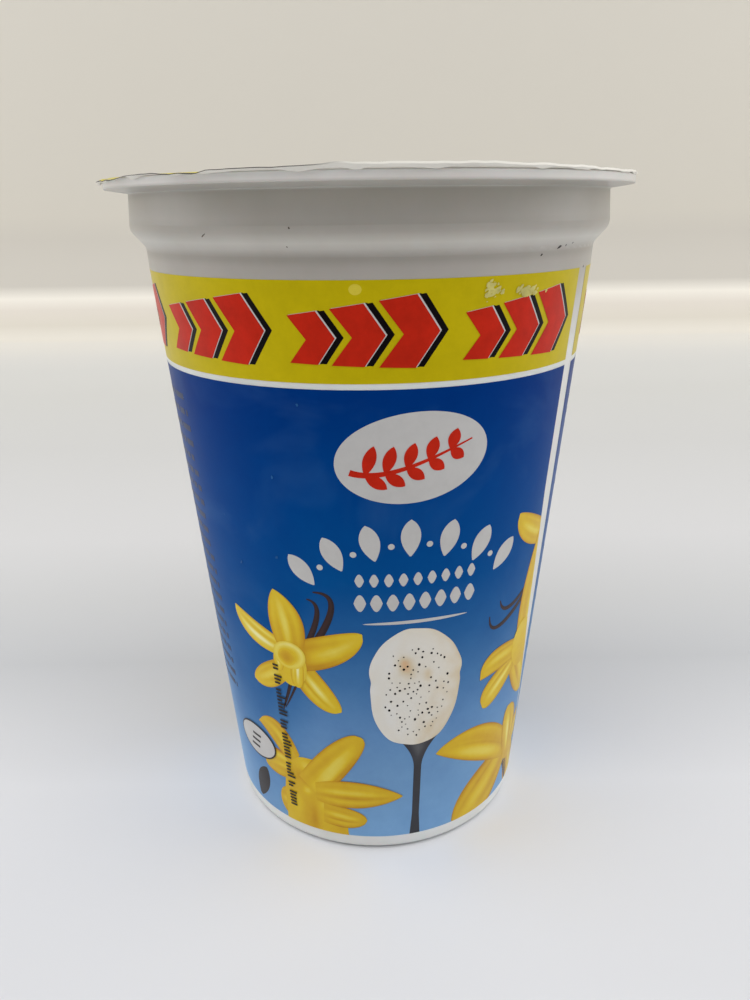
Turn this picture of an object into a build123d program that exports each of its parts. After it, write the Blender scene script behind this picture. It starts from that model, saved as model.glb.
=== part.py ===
"""Yogurt pot: a thermoformed plastic pot, filled and shut by a heat-sealed foil lid.

The origin is the middle of the foot, on the surface that the pot stands on, with +Z up.
The shut pot can't be seen into, so it is one solid out to its wall, and the lid is another.
"""
import os
from math import radians, tan

from build123d import *

# --- Driving dimensions, in mm ---
# Conical wall, from the foot up to the neck
foot_radius = 31.0            # where the wall line meets the standing plane
wall_draft = 5.08             # degrees out from vertical
wall_height = 113.4
foot_corner = 1.8             # outer rounding of the foot

# Recessed underside inside the foot ring
ring_inner_radius = 28.2
recess_radius = 27.2
recess_depth = 2.8
boss_radius = 13.0            # shallow round panel in the middle of the underside
boss_drop = 0.6
boss_slope = 0.8
recess_corner = 0.9
ring_corner = 0.5
boss_corner = 0.4

# Neck, stacking shoulder and upright rim wall
neck_radius = 41.3
neck_height = 117.1
neck_blend = 12.0             # the wall turns gently into the neck
shoulder_radius = 43.85
shoulder_height = 119.9
shoulder_inner_corner = 1.8
shoulder_outer_corner = 2.4
rim_wall_top_radius = 43.45   # the rim wall leans in a little towards the flange
rim_corner = 0.3

# Sealing flange, whose underside slopes down to the rim wall
flange_radius = 47.5
flange_top = 127.95
flange_edge_thickness = 1.4
flange_root_thickness = 2.0
flange_corner = 0.2

# Foil lid
lid_radius = 48.3
lid_thickness = 0.3
seal_inner_radius = 43.2      # inside the sealed ring the foil is pressed a little thinner
panel_drop = 0.08
lid_corner = 0.1

# --- Values that follow from them ---
flange_edge_bottom = flange_top - flange_edge_thickness
flange_root_bottom = flange_top - flange_root_thickness
wall_top_radius = foot_radius + wall_height * tan(radians(wall_draft))
lid_top = flange_top + lid_thickness

os.makedirs("parts", exist_ok=True)

# --- Pot: one turned section, from the underside's middle out and up to the flange ---
pot_corners = [
    (0, recess_depth - boss_drop),
    (boss_radius, recess_depth - boss_drop),
    (boss_radius + boss_slope, recess_depth),
    (recess_radius, recess_depth),
    (ring_inner_radius, 0),
    (foot_radius, 0),
    (wall_top_radius, wall_height),
    (neck_radius, neck_height),
    (shoulder_radius, shoulder_height),
    (rim_wall_top_radius, flange_root_bottom),
    (flange_radius, flange_edge_bottom),
    (flange_radius, flange_top),
    (0, flange_top),
]
pot_roundings = [
    boss_corner,
    boss_corner,
    recess_corner,
    ring_corner,
    foot_corner,
    neck_blend,
    shoulder_inner_corner,
    shoulder_outer_corner,
    rim_corner,
    flange_corner,
    flange_corner,
]

with BuildPart() as pot:
    with BuildSketch(Plane.XZ):
        with BuildLine():
            section = FilletPolyline(*pot_corners, radius=pot_roundings)
            Line(section @ 1, section @ 0)
        make_face()
    revolve(axis=Axis.Z)

pot.part.label = "pot"
export_step(pot.part, "parts/pot.step")

# --- Lid: a thin foil disc that lies on the flange and stands out past its edge ---
with BuildPart() as lid:
    with BuildSketch(Plane.XY.offset(flange_top)):
        Circle(lid_radius)
    extrude(amount=lid_thickness)
    with BuildSketch(Plane.XY.offset(lid_top)):
        Circle(seal_inner_radius)
    extrude(amount=-panel_drop, mode=Mode.SUBTRACT)
    fillet(lid.edges().filter_by(GeomType.CIRCLE).group_by(SortBy.RADIUS)[-1], lid_corner)

lid.part.label = "lid"
export_step(lid.part, "parts/lid.step")
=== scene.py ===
"""A large shut yogurt pot: a white moulded plastic pot, printed all round in yellow and blue, with a
thin foil lid sealed to its flange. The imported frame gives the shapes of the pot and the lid.
"""

import math
import random

import bpy
from mathutils import Matrix, Vector, bvhtree, noise


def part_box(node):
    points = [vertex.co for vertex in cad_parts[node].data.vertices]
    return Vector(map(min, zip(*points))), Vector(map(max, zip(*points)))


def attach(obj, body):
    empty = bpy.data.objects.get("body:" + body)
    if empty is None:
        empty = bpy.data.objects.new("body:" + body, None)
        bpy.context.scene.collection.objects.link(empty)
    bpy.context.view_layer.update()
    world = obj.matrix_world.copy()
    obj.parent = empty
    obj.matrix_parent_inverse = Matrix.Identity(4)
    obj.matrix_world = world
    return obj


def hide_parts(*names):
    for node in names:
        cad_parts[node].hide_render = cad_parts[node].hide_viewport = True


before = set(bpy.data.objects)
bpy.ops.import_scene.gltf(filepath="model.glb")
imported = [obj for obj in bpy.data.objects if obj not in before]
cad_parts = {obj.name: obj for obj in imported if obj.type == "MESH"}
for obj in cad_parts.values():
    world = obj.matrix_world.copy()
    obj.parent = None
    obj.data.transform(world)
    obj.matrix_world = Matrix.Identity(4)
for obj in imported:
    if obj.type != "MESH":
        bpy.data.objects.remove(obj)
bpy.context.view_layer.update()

# ---------------------------------------------------------------------------------------------------
# Pot
# The pot is drawn from one white plastic sheet over a mould, so its wall is smooth and slightly cloudy.
# It is whitest in the thick flange and where yogurt backs it, and greyer in the thin empty neck, whose
# colour also holds painted shade under the flange and a painted dark line and light ridge at its steps.
# ---------------------------------------------------------------------------------------------------
MM = 0.001
POT_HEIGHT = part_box("pot")[1].z
# Above 0.87 the stops hold painted shade under the flange, a painted dark line and a light ridge.
WHITENESS_AND_PAINTED_SHADE = (                     # share of the pot's height, screen colour
    (0.03, (244, 245, 243)), (0.06, (240, 240, 236)), (0.78, (240, 240, 236)), (0.87, (194, 189, 181)),
    (0.8988, (187, 181, 173)), (0.9074, (174, 168, 159)), (0.9113, (178, 172, 163)),
    (0.9168, (198, 193, 185)), (0.9254, (213, 210, 202)), (0.934, (193, 189, 180)),
    (0.9379, (183, 178, 169)), (0.9457, (181, 176, 167)), (0.9535, (186, 181, 172)),
    (0.977, (180, 175, 164)), (0.9836, (176, 171, 161)), (0.985, (190, 187, 180)),
    (0.9885, (190, 187, 180)), (0.9895, (236, 233, 228)),
)


def srgb(red, green, blue):
    """The shader's linear colour for a screen colour of 0 to 255."""
    shares = (channel / 255 for channel in (red, green, blue))
    return (*(s / 12.92 if s <= 0.04045 else ((s + 0.055) / 1.055) ** 2.4 for s in shares), 1)


def add(tree, kind, settings=None, **sockets):
    """A new shader node, with its settings and its numbered or named sockets filled in."""
    made = tree.nodes.new("ShaderNode" + kind)
    for name, value in (settings or {}).items():
        setattr(made, name, value)
    for name, value in sockets.items():
        key = int(name[1:]) if name[0] == "i" and name[1:].isdigit() else name.replace("_", " ")
        if isinstance(value, bpy.types.NodeSocket):
            tree.links.new(value, made.inputs[key])
        else:
            made.inputs[key].default_value = value
    return made


def new_material(name, **sockets):
    """A material with one plastic-like shader, whose plain values are set on its own sockets."""
    material = bpy.data.materials.new(name)
    material.use_nodes = True
    shader = material.node_tree.nodes["Principled BSDF"]
    for key, value in sockets.items():
        shader.inputs[key.replace("_", " ")].default_value = value
    return material, material.node_tree, shader


def ramp(tree, factor, stops):
    """A colour ramp over (position, colour) stops, driven by factor."""
    made = add(tree, "ValToRGB", i0=factor)
    elements = made.color_ramp.elements
    while len(elements) < len(stops):
        elements.new(1)
    for element, (position, colour) in zip(elements, stops):
        element.position = position
        element.color = srgb(*colour)
    return made.outputs[0]


def blend_colour(tree, factor, low, high, mode="MIX"):
    """Mixes two colours, given as sockets or as screen colours."""
    made = add(tree, "Mix", {"data_type": "RGBA", "blend_type": mode})
    for socket, value in ((made.inputs[0], factor), (made.inputs[6], low), (made.inputs[7], high)):
        if isinstance(value, bpy.types.NodeSocket):
            tree.links.new(value, socket)
        else:
            socket.default_value = srgb(*value) if isinstance(value, tuple) else value
    return made.outputs[2]


def share(tree, value, low, high):
    """0 where value is at low, 1 where it is at high, smooth between."""
    return add(tree, "MapRange", {"interpolation_type": "SMOOTHSTEP"}, Value=value, From_Min=low,
               From_Max=high).outputs[0]


def give_skin(tree, shader, body, where, waviness=0.12):
    """The body's colour, the long soft waves of a thin drawn wall and a fine orange peel over them."""
    tree.links.new(body, shader.inputs["Base Color"])
    waves = add(tree, "TexNoise", Vector=where, Scale=60, Detail=2)
    peel = add(tree, "TexNoise", Vector=where, Scale=1800, Detail=2)
    slow = add(tree, "Bump", Strength=waviness, Distance=0.001, Height=waves.outputs[0])
    fine = add(tree, "Bump", Strength=0.05, Distance=0.00005, Height=peel.outputs[0])
    tree.links.new(slow.outputs[0], fine.inputs["Normal"])
    tree.links.new(fine.outputs[0], shader.inputs["Normal"])


def make_plastic():
    material, tree, shader = new_material(
        "white_plastic", Roughness=0.36, IOR=1.49, Subsurface_Weight=0.12, Subsurface_Scale=0.002
    )
    where = add(tree, "TexCoord").outputs["Object"]
    height = add(tree, "SeparateXYZ", i0=where).outputs[2]
    rise = add(tree, "MapRange", Value=height, From_Max=POT_HEIGHT).outputs[0]
    # colour by height, with painted shade and a painted light ridge on the rim wall and neck
    body = ramp(tree, rise, WHITENESS_AND_PAINTED_SHADE)
    clouds = add(tree, "TexNoise", Vector=where, Scale=45, Detail=4, Roughness=0.6)
    cloudy = ramp(tree, clouds.outputs[0], [(0.3, (240, 239, 236)), (0.7, (255, 255, 255))])
    body = blend_colour(tree, 1.0, body, cloudy, "MULTIPLY")
    dust = add(tree, "TexVoronoi", {"feature": "F1"}, Vector=where, Scale=170, Randomness=1)
    seldom = add(tree, "TexNoise", Vector=where, Scale=40, Detail=0)
    small = share(tree, dust.outputs["Distance"], 0.09, 0.05)
    rare = share(tree, seldom.outputs[0], 0.66, 0.7)
    specks = add(tree, "Math", {"operation": "MULTIPLY"}, i0=small, i1=rare).outputs[0]
    body = blend_colour(tree, specks, body, (110, 100, 90))
    give_skin(tree, shader, body, where)
    return material


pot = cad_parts["pot"]
pot.data.materials.clear()
pot.data.materials.append(make_plastic())

# ---------------------------------------------------------------------------------------------------
# Print: bands of colour
# The wall is printed straight on the plastic, round the whole pot, in a yellow band over a blue field
# that pales towards the foot. The printing drum leaves one bare white stripe where its ends meet.
# ---------------------------------------------------------------------------------------------------
WALL_FOOT_RADIUS = 31.0
WALL_DRAFT = math.radians(5.08)
ART_RADIUS = 36.0                 # distances across the flat artwork are true at this radius
INK_FILM = 0.02                   # thickness of one layer
STRIPE_LEFT = 58.5                # degrees round from the front, at the top of the print
STRIPE_RIGHT = 64.5
ROUND = math.tau * ART_RADIUS
BLUE_BOTTOM = 3.5
BLUE_TOP = 96.9
YELLOW_BOTTOM = 97.85
YELLOW_TOP = 113.35
CREASE = math.radians(40)         # sharper edges than this stay sharp
LAG = 0.22                        # how much lower the blue starts to pale at the left of each front
LAG_STARTS = 0.00035              # where that begins: distance across times distance back, in m2
LAG_IS_FULL = 0.00056


def stripe_left(up):
    """The print's end beside the bare stripe, which slants a little, and more near the foot."""
    degrees = STRIPE_LEFT + 0.088 * max(0, 74 - up) + 0.22 * max(0, 45 - up)
    return math.radians(degrees) * ART_RADIUS


def stripe_right(up):
    """The print's start, on the stripe's other side."""
    degrees = STRIPE_RIGHT + 0.03 * max(0, BLUE_TOP - up)
    return max(math.radians(degrees) * ART_RADIUS, stripe_left(up) + 1.0)


def on_wall(across, up, lift):
    """The place on the wall of a point of the flat artwork, in mm, raised by lift."""
    angle = across / ART_RADIUS
    radius = WALL_FOOT_RADIUS + up * math.tan(WALL_DRAFT) + lift
    return Vector((radius * math.sin(angle), -radius * math.cos(angle), up)) * MM


def new_piece(name, points, faces, *materials):
    """A smooth shaded mesh in the scene."""
    mesh = bpy.data.meshes.new(name)
    mesh.from_pydata(points, [], faces)
    mesh.shade_smooth()
    mesh.set_sharp_from_angle(angle=CREASE)
    for material in materials:
        mesh.materials.append(material)
    piece = bpy.data.objects.new(name, mesh)
    bpy.context.scene.collection.objects.link(piece)
    return piece


class Inkwork:
    """Gathers patches of artwork and lays them on a surface as one piece of thin closed films."""

    def __init__(self, place=on_wall, limited=True):
        self.place = place
        self.limited = limited
        self.points = []
        self.faces = []
        self.tones = []

    def patch(self, spot, columns, rows, layer, tone=None, shift=0.0):
        """Adds a film, cut off where the print ends: spot(u, v) is its place, tone(u, v) its lightness."""
        shares = [(i / columns, j / rows) for i in range(columns + 1) for j in range(rows + 1)]
        flat = [(x + shift, z) for x, z in (spot(u, v) for u, v in shares)]
        corners = [i * (rows + 1) + j for i in range(columns) for j in range(rows)]
        quads = [(a, a + rows + 1, a + rows + 2, a + 1) for a in corners]
        if self.limited:
            inside = [stripe_right(z) < x < stripe_left(z) + ROUND and BLUE_BOTTOM < z < YELLOW_TOP
                      for x, z in flat]
            quads = [quad for quad in quads if any(inside[index] for index in quad)]
            flat = [(min(max(x, stripe_right(z)), stripe_left(z) + ROUND),
                     min(max(z, BLUE_BOTTOM), YELLOW_TOP)) for x, z in flat]
        if not quads:
            return
        middle = [flat[index] for index in quads[len(quads) // 2]]
        turned = sum(a[0] * b[1] - b[0] * a[1] for a, b in zip(middle, middle[1:] + middle[:1]))
        if turned < 0:
            quads = [tuple(reversed(quad)) for quad in quads]
        self.close_film(flat, quads, layer, [tone(u, v) if tone else 0.0 for u, v in shares])

    def close_film(self, flat, quads, layer, tones):
        """Gives the quads an upper side, an under side and an edge."""
        used = sorted({index for quad in quads for index in quad})
        first = {index: len(self.points) + k for k, index in enumerate(used)}
        count = len(used)
        height = (layer + 1) * INK_FILM
        self.points += [self.place(*flat[index], height) for index in used]
        self.points += [self.place(*flat[index], height - INK_FILM) for index in used]
        self.tones += [tones[index] for index in used] * 2
        edges = set()
        for quad in quads:
            self.faces.append(tuple(first[index] for index in quad))
            self.faces.append(tuple(first[index] + count for index in reversed(quad)))
            edges.update(zip(quad, quad[1:] + quad[:1]))
        for a, b in sorted(edges):
            if (b, a) not in edges:
                self.faces.append((first[b], first[a], first[a] + count, first[b] + count))

    def press(self, name, material, slot):
        """Makes the piece, with its tones as a point attribute."""
        piece = new_piece(name, self.points, self.faces, material)
        attribute = piece.data.attributes.new("tone", "FLOAT", "POINT")
        attribute.data.foreach_set("value", self.tones)
        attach(piece, "root")


def between(low, high, t):
    return low + (high - low) * t


def make_ink(name, colour, variation=0.05, roughness=0.34):
    """One printing ink, slightly mottled where the dots of the print run together."""
    material, tree, shader = new_material(name, Roughness=roughness, IOR=1.47, Specular_IOR_Level=0.25,
                                          Specular_Tint=srgb(*colour))
    where = add(tree, "TexCoord").outputs["Object"]
    mottle = add(tree, "TexNoise", Vector=where, Scale=220, Detail=5, Roughness=0.7)
    darker = tuple(channel * (1 - variation) for channel in colour)
    lighter = tuple(min(255, channel * (1 + variation / 2)) for channel in colour)
    body = ramp(tree, mottle.outputs[0], [(0.35, darker), (0.65, lighter)])
    give_skin(tree, shader, body, where)
    return material


def make_blue_field():
    material, tree, shader = new_material("blue_ink", Roughness=0.34, IOR=1.47, Specular_IOR_Level=0.06,
                                          Specular_Tint=srgb(40, 150, 255))
    where = add(tree, "TexCoord").outputs["Object"]
    across, back, height = add(tree, "SeparateXYZ", i0=where).outputs
    rise = add(tree, "MapRange", Value=height, From_Max=BLUE_TOP * MM).outputs[0]
    left = add(tree, "Math", {"operation": "MULTIPLY"}, i0=across, i1=back).outputs[0]
    lag = add(tree, "MapRange", Value=left, From_Min=LAG_STARTS, From_Max=LAG_IS_FULL, To_Max=LAG)
    rest = add(tree, "Math", {"operation": "SUBTRACT"}, i0=1.0, i1=rise).outputs[0]
    late = add(tree, "Math", {"operation": "MULTIPLY_ADD"}, i0=lag.outputs[0], i1=rest, i2=rise)
    fade = ramp(tree, late.outputs[0], [
        (0.05, (136, 182, 226)), (0.2, (124, 167, 210)), (0.31, (108, 152, 200)), (0.42, (80, 130, 182)),
        (0.52, (48, 105, 164)), (0.64, (8, 84, 152)), (0.8, (2, 72, 144)), (0.98, (1, 56, 130)),
    ])
    mottle = add(tree, "TexNoise", Vector=where, Scale=150, Detail=6, Roughness=0.7)
    dots = ramp(tree, mottle.outputs[0], [(0.3, (238, 240, 246)), (0.7, (255, 255, 255))])
    body = blend_colour(tree, 1.0, fade, dots, "MULTIPLY")
    clouds = add(tree, "TexNoise", Vector=where, Scale=55, Detail=3, Distortion=1.2)
    haze = add(tree, "MapRange", Value=clouds.outputs[0], From_Min=0.5, From_Max=0.75, To_Max=0.07)
    body = blend_colour(tree, haze.outputs[0], body, (120, 165, 205))
    give_skin(tree, shader, body, where)
    return material


def band(low, high):
    """A band of print from one side of the bare stripe, round the pot, to its other side."""
    def spot(u, v):
        up = between(low, high, v)
        return between(stripe_right(up), stripe_left(up) + ROUND, u), up
    return spot


yellow_band = Inkwork(limited=False)
yellow_band.patch(band(YELLOW_BOTTOM, YELLOW_TOP), 300, 10, 0)
yellow_band.press("print_yellow_band", make_ink("yellow_ink", (206, 186, 18), 0.03), "yellow_ink")

blue_field = Inkwork(limited=False)
blue_field.patch(band(BLUE_BOTTOM, BLUE_TOP), 300, 48, 0)
blue_field.press("print_blue_field", make_blue_field(), "blue_ink")

# ---------------------------------------------------------------------------------------------------
# Print: chevrons on the yellow band
# A group of three bold red chevrons, growing to the right, is repeated all round the yellow band. Each
# chevron is printed in red over a black drop shadow, with a thin pale line between the two inks.
# ---------------------------------------------------------------------------------------------------
GROUP_COUNT = 9
GROUP_START = math.radians(71.7) * ART_RADIUS
GROUP_PITCH = math.radians(38.6) * ART_RADIUS
GROUP_WIDTH = 19.6
GROUP_FLOOR = (101.0, 100.1)      # at the group's left end and its right end
GROUP_CEILING = (108.2, 111.6)
CHEVRONS = ((0.0, 4.0, 2.5), (5.9, 4.5, 2.9), (12.4, 5.0, 3.3))   # start, thickness, reach of the point


def chevron(start, thickness, reach, move=0.0, rise=0.0):
    """A patch between the group's floor and ceiling that points right at half its height."""
    def spot(u, v):
        along = start + thickness * u
        t = along / GROUP_WIDTH
        up = between(between(*GROUP_FLOOR, t), between(*GROUP_CEILING, t), v)
        return along + move + reach * (1 - abs(2 * v - 1)), up + rise
    return spot


shadows, outlines, chevrons = (Inkwork() for _ in range(3))
for group in range(GROUP_COUNT):
    left = GROUP_START + group * GROUP_PITCH
    for start, thickness, reach in CHEVRONS:
        for move in (0.5, 1.2):
            shadows.patch(chevron(start, thickness, reach, move, 0.12), 4, 12, 1, shift=left)
        outlines.patch(chevron(start, thickness, reach, 0.22, 0.1), 4, 12, 2, shift=left)
        chevrons.patch(chevron(start, thickness, reach), 6, 12, 3, shift=left)
black_ink = make_ink("black_ink", (22, 19, 20), 0.2)
white_ink = make_ink("white_ink", (206, 204, 201), 0.02)
red_ink = make_ink("red_ink", (205, 44, 26), 0.06)
shadows.press("print_chevron_shadows", black_ink, "black_ink")
outlines.press("print_chevron_outlines", white_ink, "white_ink")
chevrons.press("print_red_chevrons", red_ink, "red_ink")

# ---------------------------------------------------------------------------------------------------
# Print: oval, garland and lines
# Where a label has its badge and title, this print has a plain white oval with a small red sprig, and
# under it a curved row of white leaves, two rows of small lozenges and a thin tapered line.
# ---------------------------------------------------------------------------------------------------
PANEL_SHIFTS = (ROUND, ROUND / 2)  # the drawing stands on the front and again on the back
OVAL_MIDDLE = (6.15, 85.4)
OVAL_HALF_SIZE = (12.1, 7.75)
OVAL_TILT = math.radians(7)
GARLAND_MIDDLE = Vector((6.0, 41.5))
GARLAND_DOTS = 28.4               # distance from the garland's middle
GARLAND_LEAVES = (26.2, 33.1)
LOZENGE_ROWS = ((9, 63.2, 1.3), (8, 58.7, 1.75))   # how many, height, size
LOZENGE_ENDS = (-2.6, 17.4)


def rounded(u, v):
    """Where a point of a square grid comes when the grid's sides are bent out to a circle of radius 1."""
    a, b = 2 * u - 1, 2 * v - 1
    return a * math.sqrt(1 - b * b / 2), b * math.sqrt(1 - a * a / 2)


def tilted(x, z, tilt, middle):
    """A place turned by tilt about the zero point, which is then moved to middle."""
    return (middle[0] + x * math.cos(tilt) - z * math.sin(tilt),
            middle[1] + x * math.sin(tilt) + z * math.cos(tilt))


def oval(middle, half_width, half_height, tilt=0.0):
    """A round patch."""
    def spot(u, v):
        x, z = rounded(u, v)
        return tilted(half_width * x, half_height * z, tilt, middle)
    return spot


def petal(root, tip, left, right, root_width=0.0, blunt=0.7):
    """A leaf or petal from root to tip, bulging to its left and right, with a blunt or a fine tip."""
    root, tip = Vector(root), Vector(tip)
    along = tip - root
    side = Vector((-along.y, along.x)).normalized()
    peak = 1 / (1 + blunt)
    highest = peak * (1 - peak) ** blunt

    def spot(u, v):
        u = min(u, 0.9995)
        swell = u * (1 - u) ** blunt / highest
        stub = root_width * (1 - u) ** 0.8 + 0.02
        place = root + along * u + side * between(-(right * swell + stub), left * swell + stub, v)
        return place.x, place.y
    return spot


def bent_strip(ends, width):
    """A strip of width(u) along the smooth curve that four control points pull."""
    a, b, c, d = (Vector(point) for point in ends)

    def spot(u, v):
        w = 1 - u
        place = a * w ** 3 + b * 3 * w * w * u + c * 3 * w * u * u + d * u ** 3
        way = (b - a) * w * w + (c - b) * 2 * w * u + (d - c) * u * u
        side = Vector((-way.y, way.x)).normalized()
        place += side * width(u) * (v - 0.5)
        return place.x, place.y
    return spot


def badge(white_art, red_art, shift):
    """The white oval with its red sprig."""
    white_art.patch(oval(OVAL_MIDDLE, *OVAL_HALF_SIZE, OVAL_TILT), 36, 24, 1, shift=shift)
    stem = ((-3.6, 83.2), (1.6, 81.4), (9.0, 85.4), (15.4, 88.0))
    red_art.patch(bent_strip(stem, lambda u: 0.85 * (1 - u) + 0.25), 24, 2, 2, shift=shift)
    for k in range(5):
        at = bent_strip(stem, lambda u: 0)(0.14 + 0.17 * k, 0.5)
        for turn, size in ((62, 5.2 - 0.4 * k), (-48, 4.2 - 0.35 * k)):
            lean = math.radians(12 + turn)
            end = (at[0] + size * math.cos(lean), at[1] + size * math.sin(lean))
            red_art.patch(petal(at, end, 0.95, 0.95, 0.05, 0.9), 12, 6, 3, shift=shift)


white_art, sprig = Inkwork(), Inkwork()
for shift in PANEL_SHIFTS:
    badge(white_art, sprig, shift)
    for k in range(13):
        turn = math.radians(90 - 6.5 * (k - 6))
        way = Vector((math.cos(turn), math.sin(turn)))
        if k % 2:
            white_art.patch(oval(GARLAND_MIDDLE + way * GARLAND_DOTS, 0.55, 0.55), 8, 8, 1, shift=shift)
        else:
            ends = (GARLAND_MIDDLE + way * distance for distance in GARLAND_LEAVES)
            white_art.patch(petal(*ends, 1.6, 1.6, 0.1, 0.8), 16, 8, 1, shift=shift)
    for count, height, size in LOZENGE_ROWS:
        for k in range(count):
            x = between(*LOZENGE_ENDS, k / (count - 1))
            ends = ((x - size * 0.62, height), (x + size * 0.62, height))
            white_art.patch(petal(*ends, size * 0.95, size * 0.95, 0.03, 1.0), 10, 6, 1, shift=shift)
    underline = ((-2.2, 54.4), (3.0, 54.6), (12.0, 54.6), (17.3, 54.4))
    white_art.patch(bent_strip(underline, lambda u: 0.62 * math.sin(math.pi * u) ** 0.6 + 0.03),
                    32, 2, 1, shift=shift)
white_art.press("print_white_shapes", white_ink, "white_ink")
sprig.press("print_red_sprig", red_ink, "red_ink")

# ---------------------------------------------------------------------------------------------------
# Print: flowers and pods
# Vanilla flowers are printed as shaded drawings: five long petals round a trumpet, lit along their
# middles and browner at their roots and edges. Thin dark pods curl out from behind them.
# ---------------------------------------------------------------------------------------------------


def glow(u, v, middle_u, middle_v, size_u, size_v, slope=0.0):
    """A soft spot, or with a slope a slanting streak."""
    v += slope * (u - middle_u)
    return math.exp(-((u - middle_u) / size_u) ** 2 - ((v - middle_v) / size_v) ** 2)


def petal_tone(light_side=0.1, lit=0.9, root_shade=0.5, warmth=0.0):
    """Lit in a streak along the petal, browner at its root and towards both edges."""
    def tone(u, v):
        side = 2 * v - 1
        along = math.sin(math.pi * min(1.0, u + 0.08)) ** 1.3
        streak = math.exp(-((side - light_side) / 0.26) ** 2) * along
        second = 0.35 * math.exp(-((side + light_side + 0.35) / 0.12) ** 2) * along
        groove = 0.3 * math.exp(-((side - light_side + 0.42) / 0.1) ** 2) * along
        shade = groove + 0.45 * min(1.0, 3 * u) * abs(side) ** 6 + root_shade * (1 - u) ** 2.2 + warmth
        veins = 0.12 * math.sin(9 * side + 2 * u) * along
        return lit * 0.75 * (streak + second) + veins - shade
    return tone


def pod_tone(u, v):
    return 0.9 * math.exp(-((2 * v - 1 - 0.25) / 0.4) ** 2) - 0.3


def make_drawn_ink(name, stops, *grains):
    """An ink that follows the drawing's tone, from -1 to 1, made uneven by grains of the given sort."""
    material, tree, shader = new_material(name, Roughness=0.34, IOR=1.47, Specular_IOR_Level=0.25)
    where = add(tree, "TexCoord").outputs["Object"]
    tone = add(tree, "Attribute", {"attribute_name": "tone"}).outputs["Fac"]
    level = add(tree, "MapRange", Value=tone, From_Min=-1.0).outputs[0]
    for scale, detail, roughness, low, high in grains:
        grain = add(tree, "TexNoise", Vector=where, Scale=scale, Detail=detail, Roughness=roughness)
        uneven = add(tree, "MapRange", Value=grain.outputs[0], To_Min=low, To_Max=high).outputs[0]
        level = add(tree, "Math", {"operation": "ADD"}, i0=level, i1=uneven).outputs[0]
    give_skin(tree, shader, ramp(tree, level, stops), where)
    return material


def pod(art, curve, width, shift=0.0):
    art.patch(bent_strip(curve, lambda u: width * (1 - 0.8 * u ** 2.5)), 28, 4, 1, pod_tone, shift)


def lay_petals(art, shift, *rows):
    """Each row has a petal's root, tip and shape, then its columns, rows and layer, then its tone."""
    for root, tip, shape, grid, tone in rows:
        art.patch(petal(root, tip, *shape), *grid, petal_tone(*tone), shift)


def open_flower(art, shift):
    """The flower beside the title, seen from the front, with its trumpet in the middle."""
    lay_petals(art, shift,
        ((-18.0, 43.0), (-27.3, 37.2), (2.2, 1.2, 1.8, 0.6), (24, 14, 1), (-0.1, 0.4, 0.2)),
        ((-18.5, 46.8), (-30.1, 52.9), (2.7, 0.1, 1.9, 0.6), (28, 14, 2), (0.25, 1.3, 0.1, -0.12)),
        ((-15.2, 43.5), (-6.9, 34.7), (0.8, 2.1, 2.6, 0.5), (26, 14, 2), (0.1, 0.9, 0.3)),
        ((-15.4, 45.8), (-2.4, 52.3), (0.7, 2.4, 3.2, 0.5), (28, 14, 3), (-0.25, 0.55, 0.6)),
        ((-16.3, 46.5), (-18.9, 59.5), (1.7, 2.9, 2.4, 0.8), (28, 14, 4), (0.05, 0.7, 0.4)))
    art.patch(oval((-16.9, 43.6), 3.5, 4.7), 18, 22, 5, lambda u, v: 0.25 * u - 0.1, shift)
    lay_petals(art, shift,
        ((-19.6, 46.2), (-19.6, 41.6), (0.8, 0.9, 0.7, 0.5), (14, 8, 6), (0.0, 0.9, -0.3)),
        ((-15.2, 46.2), (-15.6, 38.8), (0.9, 1.2, 0.9, 0.35), (20, 12, 6), (0.1, 1.3, -0.3)))

    def rim_tone(u, v):
        away = min(1.0, math.hypot(*rounded(u, v)))
        return 0.75 * math.exp(-((away - 0.8) / 0.2) ** 2) * (0.25 + 0.4 * (u + v)) - 0.02

    art.patch(oval((-17.0, 45.8), 3.6, 3.0, 0.1), 22, 22, 7, rim_tone, shift)

    def throat_tone(u, v):
        a, b = 2 * u - 1, 2 * v - 1
        deep = 1 - min(1.0, a * a + b * b)
        return 0.05 - 0.5 * deep - 0.1 * v

    art.patch(oval((-17.5, 45.3), 2.0, 1.9), 16, 16, 8, throat_tone, shift)


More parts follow.
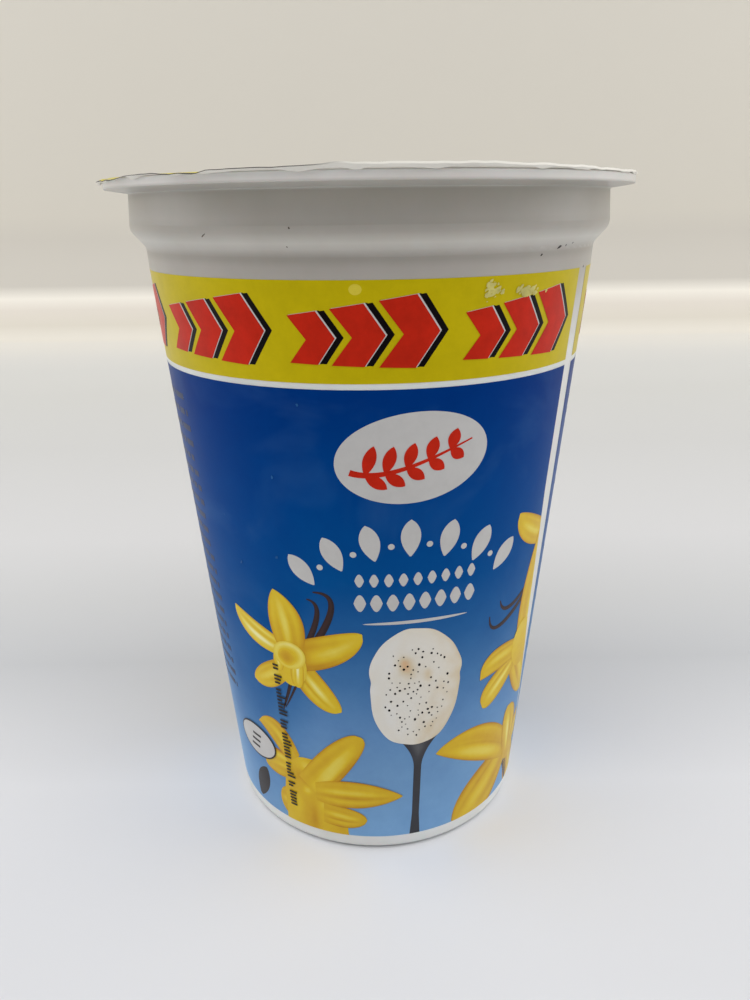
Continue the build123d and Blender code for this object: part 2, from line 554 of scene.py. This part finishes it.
def low_flower(art, shift):
    """The large flower at the foot, cut off by the print's lower edge."""
    lay_petals(art, shift,
        ((-18.5, 17.5), (-28.2, 15.9), (1.2, 3.6, 2.2, 0.6), (24, 14, 1), (-0.5, 0.5, 0.1, 0.22)),
        ((-18.5, 20.0), (-28.5, 26.2), (-0.8, 4.4, 2.2, 0.5), (26, 14, 2), (-0.1, 0.35, 0.1, 0.22)))
    art.patch(oval((-21.4, 8.3), 3.1, 3.9), 16, 16, 2, petal_tone(0.0, 0.3, 0.1, 0.22), shift)

    def heart_tone(u, v):
        folds = 0.12 * math.sin(11 * u + 4 * v) * (1 - 0.6 * v)
        lit = 0.45 * glow(u, v, 0.5, 0.86, 0.16, 0.06, 0.3) + 0.5 * glow(u, v, 0.42, 0.55, 0.06, 0.05)
        lit += 0.35 * glow(u, v, 0.68, 0.4, 0.09, 0.06) + 0.3 * glow(u, v, 0.25, 0.35, 0.1, 0.2)
        shade = 0.35 * glow(u, v, 0.4, 0.7, 0.16, 0.08, 0.5) + 0.3 * glow(u, v, 0.5, 0.2, 0.07, 0.2)
        return -0.2 + folds + lit - shade

    def heart(u, v):
        height = 18.8 * (1 - abs(2 * u - 1) ** 2.6) ** (1 / 2.6)
        return between(-23.0, -6.8, u), 3.0 + max(height, 0.05) * v

    art.patch(heart, 34, 26, 3, heart_tone, shift)
    lay_petals(art, shift,
        ((-12.5, 8.6), (-2.4, 7.9), (1.2, 1.5, 2.6, 0.45), (24, 12, 4), (0.1, 0.5, 0.0, 0.22)),
        ((-15.4, 14.4), (-2.9, 28.8), (2.4, 1.5, 3.4, 0.35), (36, 16, 5), (-0.3, 0.9, 0.0, 0.2)),
        ((-14.0, 13.8), (5.6, 14.0), (2.5, 1.5, 2.3, 0.95), (34, 14, 6), (0.2, 0.45, 0.0, 0.22)))


def side_flower(art, shift):
    """The tall narrow flower at the right, part of which the bare stripe cuts off."""
    lay_petals(art, shift,
        ((39.6, 64.0), (28.1, 71.3), (2.9, 0.4, 2.2, 0.55), (26, 12, 1), (0.0, 0.6, 0.1, 0.1)),
        ((38.0, 36.0), (38.0, 66.8), (3.4, 3.4, 2.6, 1.1), (40, 14, 2), (-0.3, 0.9, 0.1, 0.1)),
        ((33.4, 40.0), (41.8, 26.6), (3.4, 2.4, 2.6, 0.6), (24, 12, 2), (0.1, 0.4, 0.1, 0.1)),
        ((33.4, 38.4), (24.0, 30.4), (1.3, 3.1, 1.9, 0.4), (24, 12, 3), (0.1, 0.95, 0.2, 0.1)),
        ((34.2, 40.8), (22.3, 37.6), (-0.2, 3.7, 2.1, 0.45), (26, 12, 4), (-0.1, 0.5, 0.2, 0.1)))
    art.patch(oval((36.4, 40.6), 4.4, 5.6, 0.2), 20, 20, 5, lambda u, v: 0.2 * v - 0.15, shift)


def corner_flower(art, shift):
    """The flower in the lower right corner, cut off by the foot and by the bare stripe."""
    lay_petals(art, shift,
        ((35.9, 15.5), (19.1, 0.6), (4.3, 5.2, 3.0, 0.6), (28, 16, 1), (-0.1, 0.4, 0.2, 0.18)),
        ((35.0, 15.6), (12.7, 23.2), (0.2, 5.2, 3.0, 0.75), (36, 16, 2), (0.45, 0.95, 0.2, 0.18)),
        ((38.5, 15.0), (48.5, 20.0), (2.4, 2.6, 2.0, 0.6), (22, 12, 1), (0.1, 0.5, 0.2, 0.18)),
        ((39.0, 13.5), (45.5, -1.0), (2.2, 2.8, 2.4, 0.6), (22, 12, 1), (0.1, 0.5, 0.2, 0.18)))
    art.patch(oval((38.8, 14.2), 3.6, 4.2), 16, 16, 2, lambda u, v: 0.3 * v - 0.3, shift)
    lay_petals(art, shift,
        ((37.6, 13.0), (34.4, 25.8), (1.6, 3.4, 2.0, 0.5), (22, 12, 3), (0.2, 1.2, 0.1, 0.18)))


POD_CURVES = (                    # four points that pull the curve, and the width at its start
    (((-13.1, 48.6), (-10.9, 53.0), (-8.7, 58.4), (-12.2, 58.7)), 1.2),
    (((-11.3, 49.6), (-9.2, 52.6), (-4.5, 60.9), (-10.9, 60.3)), 1.4),
    (((-17.3, 39.8), (-17.9, 37.5), (-19.0, 35.0), (-20.0, 32.3)), 0.8),
    (((-16.2, 39.0), (-17.2, 37.0), (-18.2, 35.0), (-19.4, 33.0)), 0.5),
    (((33.6, 53.8), (28.5, 51.0), (26.2, 51.4), (25.5, 54.3)), 1.0),
    (((34.4, 52.9), (29.5, 50.0), (23.3, 45.6), (23.0, 51.7)), 1.15),
    (((37.0, 10.5), (38.5, 8.0), (39.5, 5.5), (40.5, 2.8)), 2.2),
)
flowers, pods = Inkwork(), Inkwork()
for shift in PANEL_SHIFTS:
    for curve, width in POD_CURVES:
        pod(pods, curve, width, shift)
    for draw in (open_flower, low_flower, side_flower, corner_flower):
        draw(flowers, shift)
pod_ink = make_drawn_ink("brown_ink", [(0.3, (36, 20, 22)), (0.75, (62, 36, 34)), (1, (104, 70, 62))])
petal_ink = make_drawn_ink("petal_ink", [
    (0.05, (176, 112, 12)), (0.28, (212, 162, 14)), (0.5, (230, 196, 34)), (0.72, (240, 220, 92)),
    (0.95, (250, 242, 172)),
], (420, 4, 0.6, -0.07, 0.07), (130, 3, 0.5, -0.07, 0.07))
pods.press("print_pods", pod_ink, "brown_ink")
flowers.press("print_flowers", petal_ink, "petal_ink")

# ---------------------------------------------------------------------------------------------------
# Print: spoonful
# A dark spoon stands in the middle of the drawing, with a pale oval heap on its bowl, full of small
# dark seeds.
# ---------------------------------------------------------------------------------------------------
HEAP_MIDDLE = (7.9, 40.0)
HEAP_HALF_WIDTH = 9.1
HEAP_HALF_HEIGHT = 13.3
SEED_COUNT = 96
SEED_GAP = 0.85
SEEDS_ACROSS = (-0.68, 0.72)      # shares of the heap's half width and half height
SEEDS_UP = (-0.84, 0.68)


def spoon_tone(u, v):
    """A faint sheen where the bowl meets the handle."""
    return 0.6 * glow(u, v, 0.1, 0.5, 0.08, 0.25)


def spoon_outline(u, v):
    """The bowl's lower edge narrows to a thin handle, which widens a little at its end."""
    height = between(28.4, 3.0, u)
    flare = 3.6 * max(0.0, (height - 20.8) / 7.6) ** 2.0
    half = 0.82 + flare + 0.42 * max(0.0, (9.0 - height) / 6.0)
    return 8.7 - 0.1 * u + half * (2 * v - 1), height


def heap_outline(u, v):
    """A blunt upright oval with a small shoulder on each side, a little above its middle."""
    x, z = rounded(u, v)
    turn = math.atan2(z, x)
    reach = math.hypot(x, z)
    shoulder = sum(0.045 * math.exp(-((turn - at) / 0.2) ** 2) for at in (0.34, math.pi - 0.38))
    nick = sum(0.035 * math.exp(-((turn - at) / 0.09) ** 2) for at in (0.13, math.pi - 0.14))
    wobble = 0.006 * math.sin(5 * turn + 1) + 0.005 * math.sin(11 * turn)
    full = 1 + (0.05 * math.sin(2 * turn) ** 2 + shoulder - nick + wobble) * reach
    slump = 1.4 * max(0.0, x + 0.2) * max(0.0, z)
    return (HEAP_MIDDLE[0] + HEAP_HALF_WIDTH * x * full,
            HEAP_MIDDLE[1] + HEAP_HALF_HEIGHT * z * full - slump)


def heap_tone(u, v):
    """Pale on the left and over the top, warmer down the right, with an orange blush near the top."""
    edge = max(abs(2 * u - 1), abs(2 * v - 1)) ** 6
    folds = noise.noise(Vector((u * 3.1, v * 4.3, 2.7))) + 0.5 * noise.noise(Vector((u * 8, v * 9, 5.1)))
    warm = 0.42 * (u - 0.45) + 0.3 * edge * u + 0.3 * folds
    blush = 0.85 * math.exp(-((u - 0.36 + 0.4 * (v - 0.7)) / 0.09) ** 2 - ((v - 0.70) / 0.1) ** 2)
    streak = 0.4 * glow(u, v, 0.62, 0.6, 0.05, 0.07)
    return -0.35 + warm + blush + streak


spoon, heap, seeds = (Inkwork() for _ in range(3))
seed_places = random.Random(7)
for shift in PANEL_SHIFTS:
    spoon.patch(spoon_outline, 60, 6, 1, spoon_tone, shift)
    heap.patch(heap_outline, 44, 44, 2, heap_tone, shift)
    sown = []
    while len(sown) < SEED_COUNT:
        x, z = seed_places.uniform(*SEEDS_ACROSS), seed_places.uniform(*SEEDS_UP)
        middle = Vector((HEAP_MIDDLE[0] + x * HEAP_HALF_WIDTH, HEAP_MIDDLE[1] + z * HEAP_HALF_HEIGHT))
        near = min(((middle - other).length for other in sown), default=9)
        if math.hypot(x / SEEDS_ACROSS[1], z / SEEDS_UP[0]) < 1 and near > SEED_GAP:
            size = seed_places.choice((0.13, 0.15, 0.18, 0.21, 0.25))
            seeds.patch(oval(middle, size, size * seed_places.uniform(0.8, 1.3)), 4, 4, 3, shift=shift)
            sown.append(middle)
spoon_ink = make_drawn_ink("grey_ink", [
    (0.525, (48, 48, 54)), (0.65, (68, 68, 73)), (0.95, (104, 106, 108)),
], (260, 4, 0.5, 0.0, 0.15))
heap_ink = make_drawn_ink("cream_ink", [
    (0.15, (238, 236, 230)), (0.42, (234, 227, 212)), (0.6, (224, 207, 176)), (0.8, (226, 172, 118)),
], (380, 5, 0.65, -0.08, 0.08))
spoon.press("print_spoon", spoon_ink, "grey_ink")
heap.press("print_heap", heap_ink, "cream_ink")
seeds.press("print_seeds", black_ink, "black_ink")

# ---------------------------------------------------------------------------------------------------
# Print: small marks
# Beside the drawing stand the small marks that such packs carry, all of them plain here: a white oval
# with a dark ring and three bars, a dark leaf, a column of short bars and rows of broken lines.
# ---------------------------------------------------------------------------------------------------
SMALL_OVAL_MIDDLE = (-30.4, 20.5)
SMALL_OVAL_HALF_SIZE = (6.1, 3.75)
SMALL_OVAL_RING = (6.45, 4.1)
BAR_COLUMN = (8.0, 42.5)          # height of its foot and its head
BAR_PITCH = 0.82
LINE_ENDS = (-66.0, -36.2)
LINE_HEIGHTS = [30.5 + 2.9 * k for k in range(22)]
DASH_GAP = 0.7

small_dark, small_white, small_navy = (Inkwork() for _ in range(3))
bars = random.Random(11)


def bar(x, z, width, height):
    return lambda u, v: (x + width * u, z + height * v)


def broken_lines(art, shift):
    """Rows of short dashes, as even as words on a line but with no letters in them."""
    left, right = LINE_ENDS
    for low in LINE_HEIGHTS:
        x = left + bars.uniform(0.0, 1.4)
        while x < right:
            width = min(bars.uniform(1.4, 4.6), right - x)
            if width > 0.5:
                art.patch(bar(x, low, width, 1.15), max(2, int(width)), 1, 1, shift=shift)
            x += width + DASH_GAP


for shift in PANEL_SHIFTS:
    small_dark.patch(oval(SMALL_OVAL_MIDDLE, *SMALL_OVAL_RING), 28, 20, 8, shift=shift)
    small_white.patch(oval(SMALL_OVAL_MIDDLE, *SMALL_OVAL_HALF_SIZE), 28, 20, 9, shift=shift)
    for k in range(3):
        small_dark.patch(bar(-32.6 + 0.5 * k, 18.6 + 1.5 * k, 3.0, 0.55), 4, 1, 10, shift=shift)
    small_dark.patch(petal((-33.0, 4.6), (-28.4, 14.0), 2.1, 1.9, 0.4, 0.8), 18, 8, 1, shift=shift)
    z = BAR_COLUMN[0]
    while z < BAR_COLUMN[1]:
        if bars.random() > 0.14:
            reach = bars.uniform(1.1, 2.2)
            small_dark.patch(bar(-21.2, z, reach, 0.42), 3, 1, 11, shift=shift)
        z += BAR_PITCH
    broken_lines(small_navy, shift)
mark_ink = make_ink("mark_ink", (52, 46, 44), 0.15)
small_dark.press("print_dark_marks", mark_ink, "black_ink")
small_white.press("print_white_badge", white_ink, "white_ink")
small_navy.press("print_navy_lines", make_ink("navy_ink", (26, 44, 84), 0.1), "blue_ink")

# ---------------------------------------------------------------------------------------------------
# Foil lid
# The lid is stamped from thin aluminium foil, printed above and lacquered white below, and heat sealed
# to the flange. Its panel bulges a little, its seal is waffled, and its free edge curls unevenly.
# ---------------------------------------------------------------------------------------------------
LID_SHIFT = -0.38                 # the lid was sealed slightly off centre
FLANGE_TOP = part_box("lid")[0].z / MM
FOIL_RADIUS = 48.05
FOIL_THICKNESS = 0.09
EDGE_ROLL = 0.2                   # the edge is turned over into a thicker roll in front and at the right
PANEL_RADIUS = 43.6
PANEL_BULGE = 0.6
PLEAT_DEPTH = 0.85                # the free foil sags in short pleats, deeper where it is wider
FLANGE_RADIUS = 47.5
SEAL_RADIUS = 47.35               # the foil is free beyond it
LACQUER = (244, 240, 229)
YELLOW_RING = (44.1, 47.29)
YELLOW_EDGE = (47.3, 47.85)       # the yellow ring's outer part, in finer rows where the foil curls
BORDER = (47.87, 48.04)
EDGE_CURL = (                     # degrees round from the front, rise of the free edge in mm
    (-180, 0.3), (-120, 0.3), (-105, 0.6), (-85, -0.15), (-56, -0.36), (-46, 0.06), (-34, 0.06),
    (-30, -0.12), (-26.5, 0.08), (-19.5, 0.32), (-11.5, 0.44), (-4.5, 0.54), (14, 0.56), (28, 0.44),
    (46, 0.14), (100, 0.1), (180, 0.3),
)


def edge_curl(turn):
    """How far the free edge stands up, in mm, at an angle round from the front."""
    degrees = math.degrees(turn)
    for (low_at, low), (high_at, high) in zip(EDGE_CURL, EDGE_CURL[1:]):
        if degrees <= high_at:
            t = (degrees - low_at) / (high_at - low_at)
            rise = between(low, high, t * t * (3 - 2 * t))
            break
    way = Vector((math.sin(turn), math.cos(turn), 0))
    return rise + 0.18 * noise.noise(way * 8) + 0.16 * noise.noise(way * 19)


def edge_roll(turn):
    """1 where the free edge is turned over into a roll, 0 where it is left as cut."""
    t = min(1.0, max(0.0, (math.degrees(turn) + 14) / 20))
    return t * t * (3 - 2 * t) * min(1.0, max(0.0, (110 - math.degrees(turn)) / 20))


def pleat(across, back):
    """How far the foil sags in a pleat, between the flange's edge and its own."""
    way = Vector((across, back, 0)).normalized()
    overhang = (way * FOIL_RADIUS + Vector((LID_SHIFT, 0, 0))).length - FLANGE_RADIUS
    over = (math.hypot(across + LID_SHIFT, back) - FLANGE_RADIUS) / overhang
    if over <= 0 or over >= 1:
        return 0.0
    depth = PLEAT_DEPTH * overhang * (1 + 2 * edge_roll(math.atan2(across, -back)))
    return depth * max(0.0, noise.noise(way * 13 + Vector((3, 0, 0))) + 0.12) * math.sin(math.pi * over)


def on_lid(across, back, lift, rolled=1.0):
    """The place on the foil's upper side, in mm from the lid's middle, raised by lift."""
    radius = math.hypot(across, back)
    inside = max(0.0, 1 - (radius / PANEL_RADIUS) ** 4)
    spot = Vector((across, back, 0))
    crumple = 0.3 * noise.noise(spot * 0.06) + 0.1 * noise.noise(spot * 0.17)
    turn = math.atan2(across, -back)
    curl = edge_curl(turn)
    free = max(0.0, (radius - SEAL_RADIUS) / (FOIL_RADIUS - SEAL_RADIUS))
    roll = rolled * EDGE_ROLL * edge_roll(turn) * free ** 3
    rise = inside * (PANEL_BULGE + crumple) + curl * free ** 1.3 + roll + FOIL_THICKNESS + 0.01
    rise -= pleat(across, back)
    inward = 1 - 0.7 * roll / max(radius, 1.0)
    return Vector((across * inward + LID_SHIFT, back * inward, FLANGE_TOP + rise + lift)) * MM


def make_foil_metal():
    """Bare aluminium, with the fine straight lines of rolling."""
    material, tree, shader = new_material("foil_metal", Metallic=1, Roughness=0.32)
    where = add(tree, "TexCoord").outputs["Object"]
    rolled = add(tree, "TexWave", Vector=where, Scale=60, Distortion=4, Detail=3).outputs[1]
    body = ramp(tree, rolled, [(0.2, (196, 196, 198)), (0.8, (214, 214, 214))])
    give_skin(tree, shader, body, where, 0.3)
    return material


def make_lid_ink(name, colour, waffled=False, roughness=0.3):
    """Ink or lacquer on foil, faintly crumpled, or waffled by the sealing tool."""
    material, tree, shader = new_material(name, Roughness=roughness, IOR=1.47, Metallic=0.15)
    where = add(tree, "TexCoord").outputs["Object"]
    clouds = add(tree, "TexNoise", Vector=where, Scale=70, Detail=4).outputs[0]
    darker = tuple(channel * 0.95 for channel in colour)
    tree.links.new(ramp(tree, clouds, [(0.35, darker), (0.65, colour)]), shader.inputs["Base Color"])
    if waffled:
        rows, columns = (add(tree, "TexWave", {"bands_direction": way}, Vector=where, Scale=240).outputs[1]
                         for way in "XY")
        relief = add(tree, "Math", {"operation": "MULTIPLY"}, i0=rows, i1=columns).outputs[0]
    else:
        relief = add(tree, "TexNoise", Vector=where, Scale=140, Detail=3).outputs[0]
    bump = add(tree, "Bump", Strength=0.5, Distance=0.0001, Height=relief)
    tree.links.new(bump.outputs[0], shader.inputs["Normal"])
    return material


def make_cut_edge():
    """The cut edge, dark at the left and as pale as the lacquer on the roll."""
    material, tree, shader = new_material("foil_cut", Roughness=0.45, IOR=1.47)
    across = add(tree, "SeparateXYZ", i0=add(tree, "TexCoord").outputs["Object"]).outputs[0]
    body = ramp(tree, share(tree, across, -0.011, -0.001), [(0, (58, 54, 50)), (1, LACQUER)])
    tree.links.new(body, shader.inputs["Base Color"])
    return material


def ring(low, high):
    """A flat ring round the lid's middle, whose ends meet at the back."""
    def spot(u, v):
        turn = math.tau * (u - 0.5)
        radius = between(low, high, v)
        return radius * math.sin(turn), -radius * math.cos(turn)
    return spot


def make_foil(columns=360):
    """The foil disc as a closed shell: bare metal above, lacquer below, and the cut edge between them."""
    rings = [PANEL_RADIUS * k / 30 for k in range(1, 31)]
    rings += [between(PANEL_RADIUS, SEAL_RADIUS, k / 3) for k in range(1, 4)]
    rings += [between(SEAL_RADIUS, FOIL_RADIUS, k / 10) for k in range(1, 11)]
    turns = [math.tau * k / columns - math.pi for k in range(columns)]
    points = []
    for lift, rolled in ((0.0, 1.0), (-FOIL_THICKNESS, 0.0)):
        points.append(on_lid(0, 0, lift))
        for radius in rings:
            points += [on_lid(radius * math.sin(turn), -radius * math.cos(turn), lift, rolled)
                       for turn in turns]
    below = len(points) // 2      # what the numbers of the lower points start at
    upper = []
    for k in range(columns):
        n = (k + 1) % columns
        upper.append((0, 1 + k, 1 + n))
        for j in range(len(rings) - 1):
            a, b = 1 + j * columns, 1 + (j + 1) * columns
            upper.append((a + k, b + k, b + n, a + n))
    last = 1 + (len(rings) - 1) * columns
    edge = [(last + (k + 1) % columns, last + k, below + last + k, below + last + (k + 1) % columns)
            for k in range(columns)]
    lower = [tuple(below + index for index in reversed(face)) for face in upper]
    foil = new_piece("lid_foil", points, upper + edge + lower, make_foil_metal(),
                     make_lid_ink("foil_lacquer", LACQUER, roughness=0.4), make_cut_edge())
    foil.data.polygons.foreach_set("material_index",
                                   [0] * len(upper) + [2] * len(edge) + [1] * len(lower))
    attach(foil, "root")
    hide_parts("lid")


def enlarged(size, from_middle, to_middle):
    """Lays drawings made for the wall on the lid, enlarged and moved."""
    def place(across, up, lift):
        return on_lid(to_middle[0] + size * (across - from_middle[0]),
                      to_middle[1] + size * (up - from_middle[1]), lift)
    return place


make_foil()
lid_yellow, lid_blue, lid_border = (Inkwork(on_lid, limited=False) for _ in range(3))
lid_yellow.patch(ring(*YELLOW_RING), 360, 6, 0)
lid_yellow.patch(ring(*YELLOW_EDGE), 360, 8, 0)
lid_blue.patch(oval((0, 0), 43.5, 43.5), 64, 64, 0)
lid_border.patch(ring(*BORDER), 360, 3, 0)
lid_yellow.press("lid_print_yellow_ring", make_lid_ink("lid_yellow", (221, 205, 58), True), "yellow_ink")
lid_blue.press("lid_print_blue_field", make_lid_ink("lid_blue", (6, 78, 150)), "blue_ink")
lid_border.press("lid_print_border", make_lid_ink("lid_border", (30, 34, 46)), "blue_ink")

on_badge = enlarged(1.45, OVAL_MIDDLE, (2.0, 23.0))
on_flower = enlarged(1.55, (-16.0, 46.0), (-3.0, -12.5))
lid_white, lid_sprig = (Inkwork(on_badge, limited=False) for _ in range(2))
lid_flower, lid_pods = (Inkwork(on_flower, limited=False) for _ in range(2))
badge(lid_white, lid_sprig, 0)
open_flower(lid_flower, 0)
for curve, width in POD_CURVES[:2]:
    pod(lid_pods, curve, width)
lid_white.press("lid_print_white_oval", white_ink, "white_ink")
lid_sprig.press("lid_print_red_sprig", red_ink, "red_ink")
lid_pods.press("lid_print_pods", pod_ink, "brown_ink")
lid_flower.press("lid_print_flower", petal_ink, "petal_ink")

# ---------------------------------------------------------------------------------------------------
# Wear and dirt
# The print is rubbed through in two spots near its upper edge, and has one small round mark and a few
# pinholes in the blue. Some dark specks and faint scuffs sit on the shoulder and on the rim wall.
# ---------------------------------------------------------------------------------------------------
shell = bvhtree.BVHTree.FromPolygons(
    [vertex.co for vertex in pot.data.vertices], [polygon.vertices for polygon in pot.data.polygons]
)


def on_shell(across, up, lift):
    """The place on the moulded pot itself, at any height, in mm."""
    angle = across / ART_RADIUS
    way = Vector((math.sin(angle), -math.cos(angle), 0))
    hit, normal, _, _ = shell.ray_cast(way * 100 * MM + Vector((0, 0, up * MM)), -way)
    return hit + normal * lift * MM


def fleck(middle, size, luck, stretch=1.0, tilt=0.0):
    """A ragged little blot."""
    phases = [luck.uniform(0, math.tau) for _ in range(3)]

    def spot(u, v):
        x, z = rounded(u, v)
        turn = math.atan2(z, x)
        rag = 1 + sum(0.22 / (k + 1) * math.sin((k + 2) * turn + phase)
                      for k, phase in enumerate(phases))
        return tilted(x * rag * size * stretch, z * rag * size, tilt, middle)
    return spot


RUBBED_SPOTS = (((16.8, 111.3), (1.1, 0.9), 34), ((23.3, 110.7), (1.7, 0.7), 52))
PINHOLES = ((-36.6, 92.0), (-41.4, 86.3), (-16.3, 81.4), (-17.2, 66.2), (-10.9, 94.3), (-28.6, 71.9),
            (-25.8, 63.1))
luck = random.Random(5)
rubbed = Inkwork()
for middle, spread, count in RUBBED_SPOTS:
    for _ in range(count):
        x, z = luck.gauss(middle[0], spread[0] * 0.6), luck.gauss(middle[1], spread[1] * 0.6)
        spot = fleck((x, z), luck.uniform(0.06, 0.3), luck, luck.uniform(1, 2.6), luck.uniform(0.3, 1.1))
        rubbed.patch(spot, 6, 6, 5, shift=ROUND)
rubbed.press("wear_rubbed_print", make_ink("bare_plastic", (222, 212, 128), 0.14), "white_plastic")
pinholes = Inkwork()
for middle in PINHOLES:
    spot = fleck(middle, luck.uniform(0.1, 0.2), luck, luck.uniform(1, 2), 1.2)
    pinholes.patch(spot, 5, 5, 5, shift=ROUND)
pinholes.press("wear_pinholes", make_ink("thin_blue", (44, 98, 158), 0.1), "blue_ink")
round_mark = Inkwork(limited=False)
round_mark.patch(oval((-2.0, 112.0), 0.85, 0.8), 12, 12, 1)
round_mark.press("wear_round_mark", make_ink("worn_yellow", (226, 207, 70), 0.04), "yellow_ink")

SPECKS = (                        # degrees round from the front, height, size, stretch
    (46.0, 117.0, 0.2, 2.4), (48.6, 117.2, 0.13, 1.0), (51.2, 117.5, 0.12, 1.0), (39.9, 116.0, 0.14, 1.4),
    (61.5, 113.4, 0.16, 1.2),
)
SCUFFS = ((-15.0, 120.6, 0.13, 1.0), (-34.5, 119.6, 0.09, 5.0), (-16.4, 118.0, 0.09, 1.0))
scuff_ink = make_ink("scuff_ink", (104, 96, 86), 0.1)
for name, spots, ink in (("dirt_specks", SPECKS, mark_ink), ("dirt_scuffs", SCUFFS, scuff_ink)):
    dirt = Inkwork(on_shell, limited=False)
    for degrees, height, size, stretch in spots:
        across = math.radians(degrees) * ART_RADIUS
        dirt.patch(fleck((across, height), size, luck, stretch, 0.6), 4, 4, 0)
    dirt.press(name, ink, "black_ink")

# ---------------------------------------------------------------------------------------------------
# Studio
# A pale table that runs back to a pale wall, under soft light from above and both sides. The table's
# colour holds painted light in front of the pot and painted shadow behind it.
# The camera stands level with the rim wall, close in front of the pot, and looks down at it.
# ---------------------------------------------------------------------------------------------------


def make_backdrop():
    """The pale table with painted light in front of the pot and painted shadow behind it; a warmer wall,
    paler near its foot.
    """
    material, tree, shader = new_material("backdrop_with_painted_light", Roughness=0.5, IOR=1.4)
    _, back, height = add(tree, "SeparateXYZ", i0=add(tree, "TexCoord").outputs["Object"]).outputs
    reach = add(tree, "MapRange", Value=back, From_Min=-0.08, From_Max=0.63).outputs[0]
    # painted light just in front of the pot and painted shadow just behind it
    table = ramp(tree, reach, [
        (0.025, (219, 220, 223)), (0.098, (232, 233, 236)), (0.172, (199, 201, 204)),
        (0.229, (204, 205, 206)), (0.302, (213, 213, 214)), (0.49, (210, 210, 209)), (0.68, (215, 215, 212)),
        (0.75, (219, 219, 216)), (0.817, (222, 222, 219)), (0.9, (229, 228, 224)), (0.96, (236, 234, 228)),
        (1.0, (239, 236, 229)),
    ])
    rise = add(tree, "MapRange", Value=height, From_Max=0.12).outputs[0]
    # a paler band near the wall's foot, made by colour alone
    wall = ramp(tree, rise, [
        (0.032, (242, 237, 226)), (0.11, (229, 223, 210)), (0.22, (233, 226, 215)), (0.31, (248, 243, 232)),
        (0.41, (209, 204, 194)), (0.8, (211, 206, 196)), (1.0, (219, 214, 203)),
    ])
    body = blend_colour(tree, share(tree, height, 0.0, 0.003), table, wall)
    tree.links.new(body, shader.inputs["Base Color"])
    return material


def make_stage():
    """A floor that curves up into a wall behind the pot."""
    width, front, back, bend, top = 2.4, -1.2, 0.75, 0.12, 1.6
    line = [(front, 0.0), (back - bend, 0.0)]
    line += [(back - bend + bend * math.sin(a), bend - bend * math.cos(a))
             for a in (math.radians(7.5 * k) for k in range(1, 13))]
    line += [(back, top)]
    points = [(x, y, z) for y, z in line for x in (-width, width)]
    faces = [(2 * k, 2 * k + 1, 2 * k + 3, 2 * k + 2) for k in range(len(line) - 1)]
    new_piece("stage_floor", points, faces, make_backdrop())


def soft_light(name, place, size, power, target=(0, 0, 0.06)):
    lamp = bpy.data.lights.new(name, "AREA")
    lamp.shape = "RECTANGLE"
    lamp.size, lamp.size_y = size
    lamp.energy = power
    holder = bpy.data.objects.new(name, lamp)
    holder.location = place
    holder.rotation_euler = (Vector(target) - Vector(place)).to_track_quat("-Z", "Y").to_euler()
    bpy.context.scene.collection.objects.link(holder)


make_stage()
soft_light("light_ceiling", (0, -0.4, 1.3), (1.8, 1.2), 12.5, (0, -0.3, 0))
soft_light("light_left", (-1.0, 0.1, 0.6), (0.9, 1.0), 4.6)
soft_light("light_right", (1.0, 0.1, 0.6), (0.9, 1.0), 4.6)

world = bpy.data.worlds.new("studio")
world.use_nodes = True
world.node_tree.nodes["Background"].inputs[0].default_value = srgb(250, 250, 252)
world.node_tree.nodes["Background"].inputs[1].default_value = 0.31
scene = bpy.context.scene
scene.world = world
scene.view_settings.view_transform = "Standard"

CAMERA_PLACE = (0, -0.16035, 0.12296)
CAMERA_PITCH = 0.3489
CAMERA_YAW = 0.0020
CAMERA_ROLL = -0.0129
camera_data = bpy.data.cameras.new("camera")
camera_data.sensor_width = 36
camera_data.lens = 28.8
camera_data.clip_start = 0.01
camera = bpy.data.objects.new("camera", camera_data)
camera.matrix_world = (
    Matrix.Translation(CAMERA_PLACE)
    @ Matrix.Rotation(-CAMERA_YAW, 4, "Z")
    @ Matrix.Rotation(math.pi / 2 - CAMERA_PITCH, 4, "X")
    @ Matrix.Rotation(CAMERA_ROLL, 4, "Z")
)
scene.collection.objects.link(camera)
scene.camera = camera
